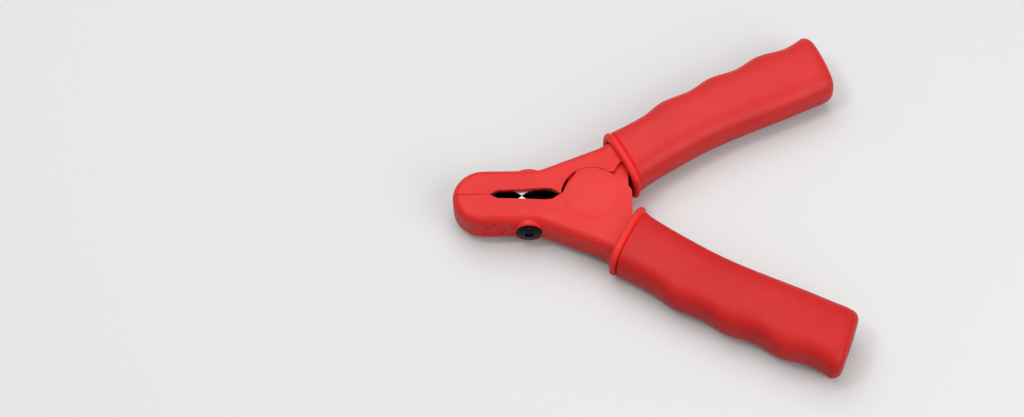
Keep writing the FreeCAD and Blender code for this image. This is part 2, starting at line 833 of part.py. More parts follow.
def rounded_section(distance, angle, outer, inner, half, corner, shift=0.0):
    """A rounded rectangle across the grip line, as a closed wire of four lines and four arcs."""
    x, y = along_grip(as_size(distance), zero)
    across = FreeCAD.Vector(-math.sin(math.radians(angle)), math.cos(math.radians(angle)), 0)
    forward = FreeCAD.Vector(across.y, -across.x, 0)
    up = FreeCAD.Vector(0, 0, 1)
    centre = FreeCAD.Vector(x.value, y.value, 0) + forward * shift

    def point(side, height):
        return centre + across * side + up * height

    edges = []
    quarter = corner * (1 - math.sqrt(0.5))
    flat = half - corner
    for side, height, turned in ((outer, half, False), (-inner, half, True),
                                 (-inner, -half, False), (outer, -half, True)):
        inwards = math.copysign(1, side)
        upwards = math.copysign(1, height)
        on_end = point(side, upwards * flat)
        middle = point(side - inwards * quarter, height - upwards * quarter)
        on_face = point(side - inwards * corner, height)
        first, last = (on_face, on_end) if turned else (on_end, on_face)
        edges.append((first, middle, last))
    wire = []
    for number, (first, middle, last) in enumerate(edges):
        wire.append(Part.Arc(first, middle, last).toShape())
        following = edges[(number + 1) % 4][0]
        wire.append(Part.LineSegment(last, following).toShape())
    return Part.Wire(wire)


def heading_at(distance):
    return size.grip_angle.value - math.degrees(distance / size.bow_radius.value)


def make_grip(name, lower):
    """A sleeve lofted through stations a quarter wave apart, with a beaded mouth and a cable hole."""
    length = size.grip_length.value
    step = size.wave_pitch.value / 4
    half = size.grip_half.value
    corner = size.grip_round.value
    stations = [0.0]
    first_valley = size.wave_crest.value - size.wave_pitch.value / 2
    stations += [first_valley / 3, first_valley * 2 / 3]
    distance = first_valley
    while distance < length - step * 0.6:
        stations.append(distance)
        distance += step
    stations.append(length)
    sections = []
    for distance in stations:
        angle = heading_at(distance)
        if distance == 0:
            angle = size.mouth_angle.value
        if distance == length:
            angle = size.end_angle.value
        sections.append(rounded_section(
            distance, angle, outer_reach(distance), inner_reach(distance), half, corner))
    solid = Part.makeLoft(sections, True, False)
    end_point = sections[-1].CenterOfMass
    end_edges = [edge for edge in solid.Edges
                 if abs((edge.CenterOfMass - end_point).dot(end_direction())) < 0.01]
    solid = solid.makeFillet(size.grip_end_round.value, end_edges)

    bead = make_bead()
    solid = solid.fuse(bead).removeSplitter()

    socket_outer = size.grip_outer.value - size.wave_depth.value - size.grip_wall.value
    socket_inner = size.grip_inner.value - size.grip_wall.value
    socket_half = size.shell_half.value + size.socket_fit.value
    hollow = []
    shift = -size.bead_radius.value * 2
    hollow.append(rounded_section(0, size.mouth_angle.value, socket_outer, socket_inner,
                                  socket_half, size.socket_round.value, shift))
    for share in (0.08, 0.25, 0.45, 0.65, 0.85):
        distance = share * length
        hollow.append(rounded_section(distance, heading_at(distance), socket_outer, socket_inner,
                                      socket_half, size.socket_round.value))
    hollow.append(rounded_section(length, size.end_angle.value, socket_outer, socket_inner,
                                  socket_half, size.socket_round.value,
                                  -size.grip_end_wall.value))
    solid = solid.cut(Part.makeLoft(hollow, True, False))
    solid = solid.cut(cable_hole())
    push = size.lower_push if lower else size.upper_push
    turn = -math.degrees(push.value / size.bow_radius.value)
    x, y = grip_bow_centre()
    about = FreeCAD.Rotation(FreeCAD.Vector(0, 0, 1), turn)
    pushed = FreeCAD.Placement(FreeCAD.Vector(), about, FreeCAD.Vector(x.value, y.value, 0))
    solid.transformShape(pushed.Matrix, True)
    grip = doc.addObject("Part::Feature", name)
    grip.Label = name
    grip.Shape = solid
    place(grip, lower)
    return grip


def end_direction():
    angle = math.radians(size.end_angle.value)
    return FreeCAD.Vector(math.cos(angle), math.sin(angle), 0)


def cable_hole():
    """The round way for the lead through the end wall, in the middle of the end face."""
    x, y = along_grip(size.grip_length, zero)
    direction = end_direction()
    across = FreeCAD.Vector(-direction.y, direction.x, 0)
    middle = (outer_reach(size.grip_length.value) - inner_reach(size.grip_length.value)) / 2
    depth = size.grip_end_wall.value * 2
    start = FreeCAD.Vector(x.value, y.value, 0) + across * middle - direction * depth
    return Part.makeCylinder(size.cable_radius.value, depth * 2, start, direction)


def make_bead():
    """The rolled rim of the mouth: a round bar carried along the mouth's outline."""
    inset = size.bead_radius.value / 2
    path = rounded_section(0, size.mouth_angle.value, outer_reach(0) - inset,
                           inner_reach(0) - inset + size.bead_radius.value,
                           size.grip_half.value - inset, size.grip_round.value - inset)
    start = path.Edges[1]
    point = start.valueAt(start.FirstParameter)
    direction = start.tangentAt(start.FirstParameter)
    ring = Part.Wire([Part.makeCircle(size.bead_radius.value, point, direction)])
    edges = path.Edges[1:] + path.Edges[:1]
    return Part.Wire(edges).makePipeShell([ring], True, False)


# Hinge pin, bush and spring

def make_pin():
    body = doc.addObject("PartDesign::Body", "pivot_pin")
    body.Label = "pivot_pin"
    end = plate_inside + size.pin_sink - size.pin_end_gap
    circle = new_sketch(body, "pin_circle", "XY_Plane", -end)
    add_circle(circle, zero, zero, size.pin_radius)
    pad(body, "pin_pad", circle, end * 2)
    base = body.Tip
    chamfer = body.newObject("PartDesign::Chamfer", "pin_chamfer")
    rims = ["Edge%d" % number for number, edge in enumerate(base.Shape.Edges, start=1)
            if flat_at_either(edge, end.value)]
    chamfer.Base = (base, rims)
    chamfer.Size = size.pin_chamfer.value
    chamfer.setExpression("Size", size.pin_chamfer.text)
    doc.recompute()
    place(body, False)
    return body


def make_bush():
    body = doc.addObject("PartDesign::Body", "pivot_bush")
    body.Label = "pivot_bush"
    end = inner_ear_top - size.inner_ear_wall - size.bush_gap
    ring = new_sketch(body, "bush_ring", "XY_Plane", -end)
    bore = size.pin_radius + size.pin_fit
    add_circle(ring, zero, zero, bore + size.bush_wall)
    add_circle(ring, zero, zero, bore)
    pad(body, "bush_pad", ring, end * 2)
    place(body, False)
    return body


def make_spring():
    """A coil about the bush whose two straight legs push the tails apart."""
    coil = size.coil_radius.value
    leg = size.leg_reach.value
    wall = size.tail_outer - size.side_wall - size.leg_gap
    room = 2 * (inner_ear_top - size.inner_ear_wall - size.bush_gap).value
    leg_angle = 45.0
    for step in range(6):
        turns = size.coil_turns.value + 2 * leg_angle / 360
        wire = (room - size.coil_gap.value * turns) / (2 * (turns + 1))
        touch = along_grip(as_size(leg), wall - wire)
        far = math.hypot(touch[0].value, touch[1].value)
        bearing = math.degrees(math.atan2(touch[1].value, touch[0].value))
        leg_angle = bearing - math.degrees(math.asin(coil / far))
    leg_length = math.sqrt(far * far - coil * coil)
    pitch = 2 * wire + size.coil_gap.value
    turns = size.coil_turns.value + 2 * leg_angle / 360
    height = pitch * turns
    helix = Part.makeHelix(pitch, height, coil)
    helix.translate(FreeCAD.Vector(0, 0, -height / 2))
    start = helix.Edges[0].valueAt(helix.Edges[0].FirstParameter)
    along = helix.Edges[0].tangentAt(helix.Edges[0].FirstParameter)
    ring = Part.Wire([Part.makeCircle(wire, start, along)])
    shape = Part.Wire(helix.Edges).makePipeShell([ring], True, True)
    shape.rotate(FreeCAD.Vector(0, 0, 0), FreeCAD.Vector(0, 0, 1), 270 - leg_angle)
    for side, level in ((-1, -height / 2), (1, height / 2)):
        tangent = math.radians(leg_angle)
        foot = FreeCAD.Vector(-coil * math.sin(tangent), side * coil * math.cos(tangent), level)
        direction = FreeCAD.Vector(math.cos(tangent), side * math.sin(tangent), 0)
        straight = Part.makeCylinder(wire, leg_length, foot, direction)
        shape = shape.fuse([straight, Part.makeSphere(wire, foot)])
    spring = doc.addObject("Part::Feature", "torsion_spring")
    spring.Label = "torsion_spring"
    spring.Shape = shape
    print("spring wire %.2f mm, coil %.2f mm long" % (2 * wire, height + 2 * wire))
    place(spring, False)
    return spring


# Flexible strap that joins the two contacts in front of the spring

def make_strap():
    body = doc.addObject("PartDesign::Body", "link_strap")
    body.Label = "link_strap"
    face = wall_inside - size.sheet
    strap = size.strap
    front = -size.strap_front
    bend = -size.strap_bend_x
    back = -size.strap_back
    turn = size.strap_turn
    corners = [(front, face), (bend, face), (back, turn), (back, -turn), (bend, -face),
               (front, -face), (front, -face + strap), (bend - strap / 4, -face + strap),
               (back - strap, -turn + strap / 4), (back - strap, turn - strap / 4),
               (bend - strap / 4, face - strap), (front, face - strap)]
    plan = new_sketch(body, "strap_plan", "XY_Plane", -size.strap_half_width)
    add_outline(plan, corners)
    pad(body, "strap_pad", plan, size.strap_half_width * 2)

    def bend_at(points):
        def chosen(edge):
            box = edge.BoundBox
            upright = box.XLength < 1e-4 and box.YLength < 1e-4
            spots = [(corners[number][0].value, corners[number][1].value) for number in points]
            return upright and any(math.hypot(box.XMin - x, box.YMin - y) < 0.01 for x, y in spots)
        return chosen

    fillet(body, "strap_outer_round", size.strap_round + strap, bend_at((1, 2, 3, 4)))
    fillet(body, "strap_inner_round", size.strap_round, bend_at((7, 8, 9, 10)))
    for side, level in (("upper", face), ("lower", -face + strap)):
        eye = new_sketch(body, "strap_eye_" + side, "XZ_Plane", -level)
        add_circle(eye, -size.screw_x, zero, size.strap_eye)
        pad(body, "strap_eye_pad_" + side, eye, strap)
    hole = new_sketch(body, "strap_holes", "XZ_Plane", -(face + 1))
    add_circle(hole, -size.screw_x, zero, size.screw_radius + size.screw_fit)
    pocket(body, "strap_hole_cut", hole, (face + 1) * 2, reverse=True)
    place(body, False)
    return body


def build():
    pieces = []
    for side, lower in (("lower", True), ("upper", False)):
        pieces.append(make_lever(side + "_lever", lower))
        pieces.append(make_grip(side + "_grip", lower))
        pieces.append(make_contact(side + "_contact", lower))
        pieces.append(make_screw(side + "_terminal_screw", lower))
        pieces.append(make_lock_washer(side + "_lock_washer", lower))
        pieces.append(make_nut(side + "_terminal_nut", lower))
    pieces += [make_pin(), make_bush(), make_spring(), make_strap()]
    doc.recompute()
    return pieces


def check(pieces):
    for item in doc.Objects:
        if "Invalid" in item.State or "Error" in item.State:
            raise RuntimeError(item.Label + " failed: " + str(item.State))
    for piece in pieces:
        if piece.Shape.isNull() or not piece.Shape.isValid():
            raise RuntimeError(piece.Label + " has no valid shape")


def main():
    pieces = build()
    check(pieces)
    os.makedirs("parts", exist_ok=True)
    for piece in pieces:
        solids = len(piece.Shape.Solids)
        print("%-22s %d solid  %9.1f mm3" % (piece.Label, solids, piece.Shape.Volume))
        piece.Shape.exportStep("parts/" + piece.Label + ".step")


main()
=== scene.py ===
# %% [markdown]
# A battery charger clamp is two moulded plastic jaws on a hinge pin, each with a folded metal
# contact inside and a soft sleeve pushed over its tail for the hand. Its solid pieces come
# from the fixed frame, already in their places. The lesson gives each of them the surface that
# the real one gets from its making, and paints some light and shade into the colours. It makes
# four of them anew: the two sleeves, with rounder skins, and plain copies of the two pieces that
# bend when the jaws open. A studio like the one in a shop's picture comes last.

# %% Load the fixed frame and keep its size
import math

import bmesh
import bpy
from mathutils import Matrix, Vector


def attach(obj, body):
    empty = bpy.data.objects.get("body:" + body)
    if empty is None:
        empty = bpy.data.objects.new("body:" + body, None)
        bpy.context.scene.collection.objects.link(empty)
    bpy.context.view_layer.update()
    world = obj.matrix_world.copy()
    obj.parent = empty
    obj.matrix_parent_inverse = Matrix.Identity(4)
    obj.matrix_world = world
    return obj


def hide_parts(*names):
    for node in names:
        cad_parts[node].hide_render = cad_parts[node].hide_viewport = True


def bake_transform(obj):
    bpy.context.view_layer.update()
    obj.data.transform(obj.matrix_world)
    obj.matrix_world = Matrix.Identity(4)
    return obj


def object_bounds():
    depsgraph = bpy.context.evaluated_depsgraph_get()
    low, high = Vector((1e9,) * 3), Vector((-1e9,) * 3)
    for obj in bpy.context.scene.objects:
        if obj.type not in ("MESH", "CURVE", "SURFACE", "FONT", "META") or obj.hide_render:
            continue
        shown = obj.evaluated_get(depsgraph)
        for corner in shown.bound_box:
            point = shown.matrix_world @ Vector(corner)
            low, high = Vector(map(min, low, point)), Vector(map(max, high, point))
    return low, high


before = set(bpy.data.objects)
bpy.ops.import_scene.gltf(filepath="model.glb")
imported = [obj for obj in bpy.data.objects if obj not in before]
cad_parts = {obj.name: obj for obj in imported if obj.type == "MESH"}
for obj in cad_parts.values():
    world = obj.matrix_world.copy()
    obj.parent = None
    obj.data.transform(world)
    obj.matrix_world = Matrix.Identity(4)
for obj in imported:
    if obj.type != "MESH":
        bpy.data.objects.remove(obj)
MM = 0.001
HINGE = Vector((23.4, 0, 0)) * MM


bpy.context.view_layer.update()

# %% [markdown]
# Colours are written as the hex values that a picture editor shows, which are sRGB. Shaders
# work in linear light, so one function turns them. The others add a node, fill its inputs with
# values or links, and start a new material.

# %% Colour and node helpers
def linear(hex_colour):
    channels = [int(hex_colour[i:i + 2], 16) / 255 for i in (1, 3, 5)]
    turned = [c / 12.92 if c <= 0.04045 else ((c + 0.055) / 1.055) ** 2.4 for c in channels]
    return (*turned, 1.0)


print("the grey #808080 is", round(linear("#808080")[0], 3), "in linear light")


def fill(tree, node, inputs):
    """Give each named input of a node its value, or a link from another node."""
    for name, value in inputs.items():
        socket = node.inputs[name]
        if isinstance(value, bpy.types.NodeSocket):
            tree.links.new(value, socket)
        else:
            socket.default_value = value


def add(tree, kind, inputs, **settings):
    """Add a node, set its own settings, then fill its inputs."""
    node = tree.nodes.new(kind)
    for name, value in settings.items():
        setattr(node, name, value)
    fill(tree, node, inputs)
    return node


def surface(name):
    """A new material: itself, its tree, its shader and the place of a point on the piece."""
    material = bpy.data.materials.new(name)
    material.use_nodes = True
    tree = material.node_tree
    place = add(tree, "ShaderNodeTexCoord", {}).outputs["Object"]
    print("new material", name)
    return material, tree, tree.nodes["Principled BSDF"], place


# %% [markdown]
# A ramp turns a pattern into colours, a span turns it into a polish, and a bump node into
# relief. A pattern's size is given in millimetres: noise repeats once per unit divided by its
# scale, so the scale is a thousand divided by the size.

# %% Patterns
def ramp(tree, factor, stops):
    """A colour ramp from a list of (place, hex colour)."""
    node = add(tree, "ShaderNodeValToRGB", {"Fac": factor})
    elements = node.color_ramp.elements
    while len(elements) < len(stops):
        elements.new(0.5)
    for element, (place, colour) in zip(elements, stops):
        element.position = place
        element.color = linear(colour)
    return node.outputs["Color"]


def span(tree, value, low, high, to_low, to_high):
    """Map one range of a value smoothly to another, clamped at both ends."""
    node = add(tree, "ShaderNodeMapRange", {"Value": value, "From Min": low, "From Max": high,
                                            "To Min": to_low, "To Max": to_high},
               interpolation_type="SMOOTHSTEP")
    return node.outputs["Result"]


def noise(tree, place, size_mm, detail=2.0):
    node = add(tree, "ShaderNodeTexNoise", {"Vector": place, "Scale": 1000 / size_mm,
                                            "Detail": detail})
    return node.outputs["Fac"]


def relief(tree, height, strength, depth_mm):
    """Bend the surface's normal as if a pattern stood up by a depth."""
    bump = add(tree, "ShaderNodeBump", {"Height": height, "Strength": strength,
                                        "Distance": depth_mm * MM})
    return bump.outputs["Normal"]


# %% [markdown]
# The jaws are injection moulded in a tough plastic such as ABS, pigmented red right through.
# Such a moulding is satin: its tool was spark-eroded, which leaves a fine even grain, and long
# walls show a faint flow of the pigment. The real grain is about 0.1 mm, too fine to show in
# the picture, so it is drawn at 0.5 mm, where it softens the highlights on the rounded edges.
# The finish is written once. The vinyl of the grips and the nylon of the bush use it too, each
# with its own grain and gloss.

# %% Satin mouldings
FLOW_MM = 20.0
WEAR_MM = 4.0
MORE_POLISHED = 0.03
LESS_POLISHED = 0.05


def moulded(name, colours, roughness, grain_mm, grain_depth_mm):
    """A pigmented moulding: slow drift of the colour, and fine grain in polish and relief."""
    material, tree, shader, place = surface(name)
    deep, main, pale = colours
    flow = noise(tree, place, FLOW_MM, 3.0)
    worn = noise(tree, place, WEAR_MM, 4.0)
    grain = noise(tree, place, grain_mm)
    fill(tree, shader, {
        "Base Color": ramp(tree, flow, [(0.3, deep), (0.5, main), (0.72, pale)]),
        "Roughness": span(tree, worn, 0.3, 0.7, roughness - MORE_POLISHED,
                          roughness + LESS_POLISHED),
        "Normal": relief(tree, grain, 0.5, grain_depth_mm)})
    return material, tree, shader, place


jaw_plastic, jaw_tree, jaw_shader, jaw_place = moulded(
    "satin_red_abs", ("#E3211D", "#E92622", "#EC2D29"),
    roughness=0.46, grain_mm=0.5, grain_depth_mm=0.03)
fill(jaw_tree, jaw_shader, {"IOR": 1.53, "Specular IOR Level": 0.36})

# %% [markdown]
# The jaws catch a little more light in a disc round the hinge, and that is painted in: a paler
# disc of colour, a painted highlight. The disc is found from how far a point lies from the hinge
# line, so it keeps its place on the piece, and it fades in over its outer five millimetres. A
# mix node's sockets share their names, so they are told apart by number.

# %% Painted highlight: paler disc round the hinge
MIX_FACTOR = 0
MIX_FIRST = 6
MIX_SECOND = 7
MIX_RESULT = 2
DISC_RADIUS = 13.6 * MM
DISC_FADE = 5.0 * MM
DISC_HIGHLIGHT_STRENGTH = 0.6


def mixed(tree, factor, first, second):
    """Mix two colours: the first where the factor is zero, the second where it is one."""
    node = add(tree, "ShaderNodeMix", {MIX_FACTOR: factor, MIX_FIRST: first, MIX_SECOND: second},
               data_type="RGBA")
    return node.outputs[MIX_RESULT]


# Painted highlight: a paler red is mixed into the jaws' colour in a disc round the hinge.
def paint_disc_highlight(tree, shader, place):
    flat = add(tree, "ShaderNodeVectorMath", {0: place, 1: (1, 1, 0)}, operation="MULTIPLY")
    away = add(tree, "ShaderNodeVectorMath", {0: flat.outputs["Vector"], 1: tuple(HINGE)},
               operation="DISTANCE")
    inside = span(tree, away.outputs["Value"], DISC_RADIUS, DISC_RADIUS - DISC_FADE,
                  0.0, DISC_HIGHLIGHT_STRENGTH)
    old_colour = shader.inputs["Base Color"].links[0].from_socket
    fill(tree, shader, {"Base Color": mixed(tree, inside, old_colour, linear("#F03531"))})


def dress(material, *names):
    """Give each named solid one material on all its faces."""
    for name in names:
        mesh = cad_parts[name].data
        mesh.materials.clear()
        mesh.materials.append(material)
        print(name, "is", material.name)


paint_disc_highlight(jaw_tree, jaw_shader, jaw_place)
dress(jaw_plastic, "lower_lever", "upper_lever")

# %% [markdown]
# The grips are moulded in soft PVC, the vinyl of tool handles, whose skin dimples softly at
# about a millimetre. Both sleeves are one vinyl: the lower one is painted a deeper red, which is
# painted shade, and it shines less. The thin rolled rim of each is a matched brighter red, which
# is a painted highlight.

# %% Soft vinyl of the grips
def soft_vinyl(name, colours, gloss):
    material, tree, shader, _ = moulded(name, colours, roughness=0.46, grain_mm=1.1,
                                        grain_depth_mm=0.04)
    fill(tree, shader, {"IOR": 1.54, "Specular IOR Level": gloss})
    return material


# The lower sleeve's deeper red is painted shade, and the rim's brighter red is a painted
# highlight.
upper_vinyl = soft_vinyl("soft_red_vinyl", ("#DB1B1A", "#E01F1E", "#E42524"), gloss=0.42)
lower_vinyl_painted_shade = soft_vinyl("red_vinyl_painted_shade", ("#CD1A1A", "#D31F1E", "#D82523"), gloss=0.26)
rim_vinyl_painted_highlight = soft_vinyl("thin_rim_painted_highlight", ("#EE2A27", "#F22E2B", "#F6322F"), gloss=0.3)

# %% [markdown]
# Every new piece starts as a loose shape. It is shaded smooth, with a crease only where two
# faces meet sharply, and put in the scene with its materials.

# %% Shape and scene helpers
CREASE = math.radians(35)


def smooth(shape):
    for face in shape.faces:
        face.smooth = True
    for edge in shape.edges:
        edge.smooth = edge.is_manifold and edge.calc_face_angle() < CREASE


def put_in_scene(name, data):
    thing = bpy.data.objects.new(name, data)
    bpy.context.scene.collection.objects.link(thing)
    return thing


def finished(name, shape, *materials):
    """Turn a loose shape into an object in the scene."""
    mesh = bpy.data.meshes.new(name)
    shape.to_mesh(mesh)
    print(name, "has", len(shape.verts), "points and", len(shape.faces), "faces")
    shape.free()
    for material in materials:
        mesh.materials.append(material)
    return put_in_scene(name, mesh)


# %% [markdown]
# A soft sleeve has no flats: where the frame's grip is a loft through boxes with rounded
# corners, the real one is drawn tight over its core and is round all the way across. So each
# sleeve is made anew. Its rings stand across a bowed line, as the beads of a necklace do, and
# each ring is a superellipse, a circle that is pushed outwards towards its box. All sizes of a
# sleeve are in millimetres or degrees, and places are counted from the hinge. The bow and the
# slant of the two ends are the frame's own. The length was set against the photograph.

# %% The bowed line of a sleeve
BOW_RADIUS = 534.0
MOUTH_PLACE = (14.3, 20.2)
MOUTH_HEADING = 36.3
MOUTH_PLANE = 28.0
MOUTH_SLANT_REACH = 12
END_PLANE = 21.0
END_SLANT_REACH = 14
SLEEVE_LENGTH = 112.5
bow_middle = (MOUTH_PLACE[0] + BOW_RADIUS * math.sin(math.radians(MOUTH_HEADING)),
              MOUTH_PLACE[1] - BOW_RADIUS * math.cos(math.radians(MOUTH_HEADING)))


def heading_at(distance):
    return MOUTH_HEADING - math.degrees(distance / BOW_RADIUS)


def line_point(distance):
    heading = math.radians(heading_at(distance))
    return Vector((bow_middle[0] - BOW_RADIUS * math.sin(heading),
                   bow_middle[1] + BOW_RADIUS * math.cos(heading), 0))


def plane_angle(distance):
    """Which way a ring faces: square to the line, but slanted at the mouth and at the end."""
    mouth_share = max(0.0, 1 - distance / MOUTH_SLANT_REACH) ** 2
    end_share = max(0.0, 1 - (SLEEVE_LENGTH - distance) / END_SLANT_REACH) ** 2
    angle = heading_at(distance)
    angle += (MOUTH_PLANE - MOUTH_HEADING) * mouth_share
    return angle + (END_PLANE - heading_at(SLEEVE_LENGTH)) * end_share


print("sleeve ends", [round(c, 1) for c in line_point(SLEEVE_LENGTH)], "mm from the hinge")

# %% [markdown]
# The finger side has four waves, 26 mm apart as fingers are, and the palm side is smooth and
# swells towards the end. A wave is strongest at the very side and fades out across the top,
# because the mould was cut with a wide round tool. The half width, the reach of both sides, the
# swell and the pitch are the frame's own. What follows the photograph more closely is the rise
# of the waves, where they start, the valley after the first crest, which is a little filled,
# and the flares at the mouth. A taper makes a sleeve thicker at its mouth than at its end.

# %% How far the sleeve stands from its line
SLEEVE_HALF = 11.1
FINGER_REACH = 15.2
PALM_REACH = 14.6
PALM_SWELL = 3.0
SWELL_START = 35
SWELL_RUN = 55
WAVE_RISE = 1.05
WAVE_PITCH = 26.0
WAVE_CREST = 33.6
VALLEY_FILL = 0.45
VALLEY_FILL_PLACE = 0.4 * WAVE_PITCH
VALLEY_FILL_RUN = 8
MOUTH_FLARE = 1.6
PALM_FLARE = 0.5
PALM_FLARE_RUN = 15


def tapered(distance, taper):
    return taper * (1 - 2 * distance / SLEEVE_LENGTH)


def finger_reach(distance, taper):
    """How far the finger side stands out, and how much a wave adds or takes there."""
    first_valley = WAVE_CREST - WAVE_PITCH / 2
    reach = FINGER_REACH + tapered(distance, taper)
    if distance < first_valley:
        flare = MOUTH_FLARE * (1 - max(distance, 0) / first_valley) ** 2
        return reach + flare, -WAVE_RISE
    turn = 2 * math.pi * (distance - WAVE_CREST) / WAVE_PITCH
    from_fill = distance - WAVE_CREST - VALLEY_FILL_PLACE
    filled = VALLEY_FILL * math.exp(-(from_fill / VALLEY_FILL_RUN) ** 2)
    return reach + filled, WAVE_RISE * math.cos(turn)


def palm_reach(distance, taper):
    share = min(max((distance - SWELL_START) / SWELL_RUN, 0), 1)
    swell = PALM_SWELL * share * share * (3 - 2 * share)
    flare = PALM_FLARE * max(1 - distance / PALM_FLARE_RUN, 0) ** 2
    return PALM_REACH + swell + flare + tapered(distance, taper)


print("across the palm", round(palm_reach(SLEEVE_LENGTH, 0) + FINGER_REACH, 1), "mm at the end")

# %% [markdown]
# One ring is a circle from the circle operator whose points are then moved to their places. A
# ring may be grown or shrunk by an outset and slid along the line by a shift, and with those
# two the rolled bead at the mouth and the rounded end are only more rings. The socket inside is
# nearly a box, of the frame's own size.

# %% One ring of the sleeve
RING_POINTS = 64
SLEEVE_ROUNDNESS = 2.75
SOCKET_ROUNDNESS = 5.0
SOCKET_FINGER_REACH = 12.0
SOCKET_PALM_REACH = 12.4
SOCKET_HALF = 8.77


def power_wave(value, roundness):
    return math.copysign(abs(value) ** (2 / roundness), value)


def place_ring(shape, distance, shift, side_and_height):
    """Add a ring to the mesh and return its edges, always in the same order."""
    made = bmesh.ops.create_circle(shape, segments=RING_POINTS, radius=1.0)
    angle = math.radians(plane_angle(distance))
    across = Vector((-math.sin(angle), math.cos(angle), 0))
    forward = Vector((math.cos(angle), math.sin(angle), 0))
    start = line_point(distance) + forward * shift
    for point in made["verts"]:
        side, height = side_and_height(point.co.x, point.co.y)
        point.co = start + across * side + Vector((0, 0, height))
    return list(dict.fromkeys(edge for point in made["verts"] for edge in point.link_edges))


def skin_ring(shape, distance, taper, outset=0.0, shift=0.0, palm_extra=0.0, finger_less=0.0):
    finger, wave = finger_reach(distance, taper)
    finger -= finger_less
    palm = palm_reach(distance, taper) + palm_extra

    def section(c, s):
        reach = finger + wave * c if c > 0 else palm
        side = power_wave(c, SLEEVE_ROUNDNESS) * (reach + outset)
        return side, power_wave(s, SLEEVE_ROUNDNESS) * (SLEEVE_HALF + outset)

    return place_ring(shape, distance, shift, section)


def socket_ring(shape, distance):
    def section(c, s):
        reach = SOCKET_FINGER_REACH if c > 0 else SOCKET_PALM_REACH
        side = power_wave(c, SOCKET_ROUNDNESS) * reach
        return side, power_wave(s, SOCKET_ROUNDNESS) * SOCKET_HALF

    return place_ring(shape, distance, 0.0, section)


def round_ring(shape, distance, radius, middle, shift=0.0):
    return place_ring(shape, distance, shift, lambda c, s: (middle + radius * c, radius * s))


print("socket is", SOCKET_FINGER_REACH + SOCKET_PALM_REACH, "by", 2 * SOCKET_HALF, "mm")

# %% [markdown]
# The chain of rings starts behind the bead, runs down the skin, rounds the end, goes in through
# the hole for the lead, comes back up the socket and closes round the bead. A short groove
# parts the bead from the skin. The bead stands out on the palm side and fades on the finger
# side, and it carries the rim's brighter red, a painted highlight, together with the groove.
# Bridging each ring to the next, and the last to the first, leaves one closed wall.

# %% The chain of rings
SKIN_STEP = 1.6
END_ROUND = 4.4
END_TURNS = range(0, 91, 18)
END_WALL = 3.0
LEAD_HOLE_RADIUS = 5.0
LEAD_HOLE_LIP = 0.4
SOCKET_SHARES = (0.96, 0.85, 0.65, 0.45, 0.25, 0.08, 0.02)
BEAD_RADIUS = 1.85
BEAD_SINK = 0.75
BEAD_TURNS = range(260, -11, -27)
PALM_BEAD = 0.9
FINGER_BEAD_LESS = 0.8
GROOVE_WIDTH = 0.9


def sleeve_rings(shape, taper):
    end = SLEEVE_LENGTH
    groove_end = BEAD_RADIUS + GROOVE_WIDTH
    rings = [skin_ring(shape, 0, taper, shift=groove_end)]
    distance = groove_end + SKIN_STEP
    while distance < end - END_ROUND - SKIN_STEP:
        rings.append(skin_ring(shape, distance, taper))
        distance += SKIN_STEP
    for degrees in END_TURNS:
        turn = math.radians(degrees)
        outset = -END_ROUND * (1 - math.cos(turn))
        rings.append(skin_ring(shape, end, taper, outset, END_ROUND * (math.sin(turn) - 1)))
    finger, wave = finger_reach(end, taper)
    middle = (finger + wave - palm_reach(end, taper)) / 2
    rings.append(round_ring(shape, end, LEAD_HOLE_RADIUS + LEAD_HOLE_LIP, middle))
    for inward in (LEAD_HOLE_LIP, END_WALL):
        rings.append(round_ring(shape, end, LEAD_HOLE_RADIUS, middle, -inward))
    for share in SOCKET_SHARES:
        rings.append(socket_ring(shape, share * end))
    for degrees in BEAD_TURNS:
        turn = math.radians(degrees)
        outset = BEAD_RADIUS * math.sin(turn) - BEAD_SINK
        shift = BEAD_RADIUS * math.cos(turn)
        rings.append(skin_ring(shape, 0, taper, outset, shift, PALM_BEAD, FINGER_BEAD_LESS))
    print("a sleeve has", len(rings), "rings,", len(BEAD_TURNS), "of them round its bead")
    return rings


# %% [markdown]
# The lower sleeve is the upper one turned over. Each is pushed on its tail by its own amount,
# as by hand, and may lean a little. The two pushes, the lean and the taper were set against the
# photograph.

# %% Build and fit a sleeve
LEAN_PLACE = 50.0


def make_sleeve(name, materials, body, node, push, lean, taper, turned_over):
    shape = bmesh.new()
    rings = sleeve_rings(shape, taper)
    for count, (ring, following) in enumerate(zip(rings, rings[1:] + rings[:1])):
        band = bmesh.ops.bridge_loops(shape, edges=ring + following)
        for face in band["faces"]:
            # The bead's rings take the second material, the rim's painted highlight.
            face.material_index = int(count >= len(rings) - len(BEAD_TURNS))
    bmesh.ops.recalc_face_normals(shape, faces=shape.faces)
    smooth(shape)
    slide = Matrix.Rotation(-push / BOW_RADIUS, 3, "Z")
    bmesh.ops.rotate(shape, verts=shape.verts, cent=(*bow_middle, 0), matrix=slide)
    turn = Matrix.Rotation(math.radians(lean), 3, "Z")
    bmesh.ops.rotate(shape, verts=shape.verts, cent=line_point(LEAN_PLACE), matrix=turn)
    if turned_over:
        over = Matrix.Rotation(math.pi, 3, "X")
        bmesh.ops.rotate(shape, verts=shape.verts, cent=(0, 0, 0), matrix=over)
    bmesh.ops.scale(shape, verts=shape.verts, vec=(MM, MM, MM))
    bmesh.ops.translate(shape, verts=shape.verts, vec=HINGE)
    print(name, "is closed:", all(edge.is_manifold for edge in shape.edges),
          "and holds", round(shape.calc_volume() / MM ** 3), "mm3 of vinyl")
    sleeve = finished(name, shape, *materials)
    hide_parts(node)
    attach(sleeve, body)


